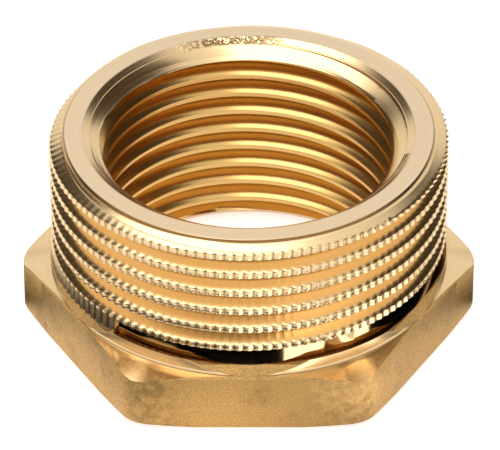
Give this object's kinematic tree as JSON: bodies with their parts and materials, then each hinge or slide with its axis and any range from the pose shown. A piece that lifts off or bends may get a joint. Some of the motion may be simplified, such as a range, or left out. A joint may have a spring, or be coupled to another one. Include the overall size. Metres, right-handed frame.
{
  "type": "hex bushing",
  "caption": "Brass reducing bush: a hexagon with a parallel male pipe thread above it and a smaller female thread through its centre.",
  "frame": {"origin": "centre of the flat resting face under the hexagon, on the thread axis", "axes": "+Z along the thread axis, from the hexagon towards the end of the male thread; +Y and -Y face two flats of the hexagon, and +X and -X point at two of its corners"},
  "size_m": [0.048, 0.0424, 0.0229],
  "materials": {
    "brass": "turned and blasted brass, satin on the hexagon, bright where it is cut, with light tarnish"
  },
  "bodies": {
    "root": {"hex_bushing": "brass"}
  },
  "joints": []
}
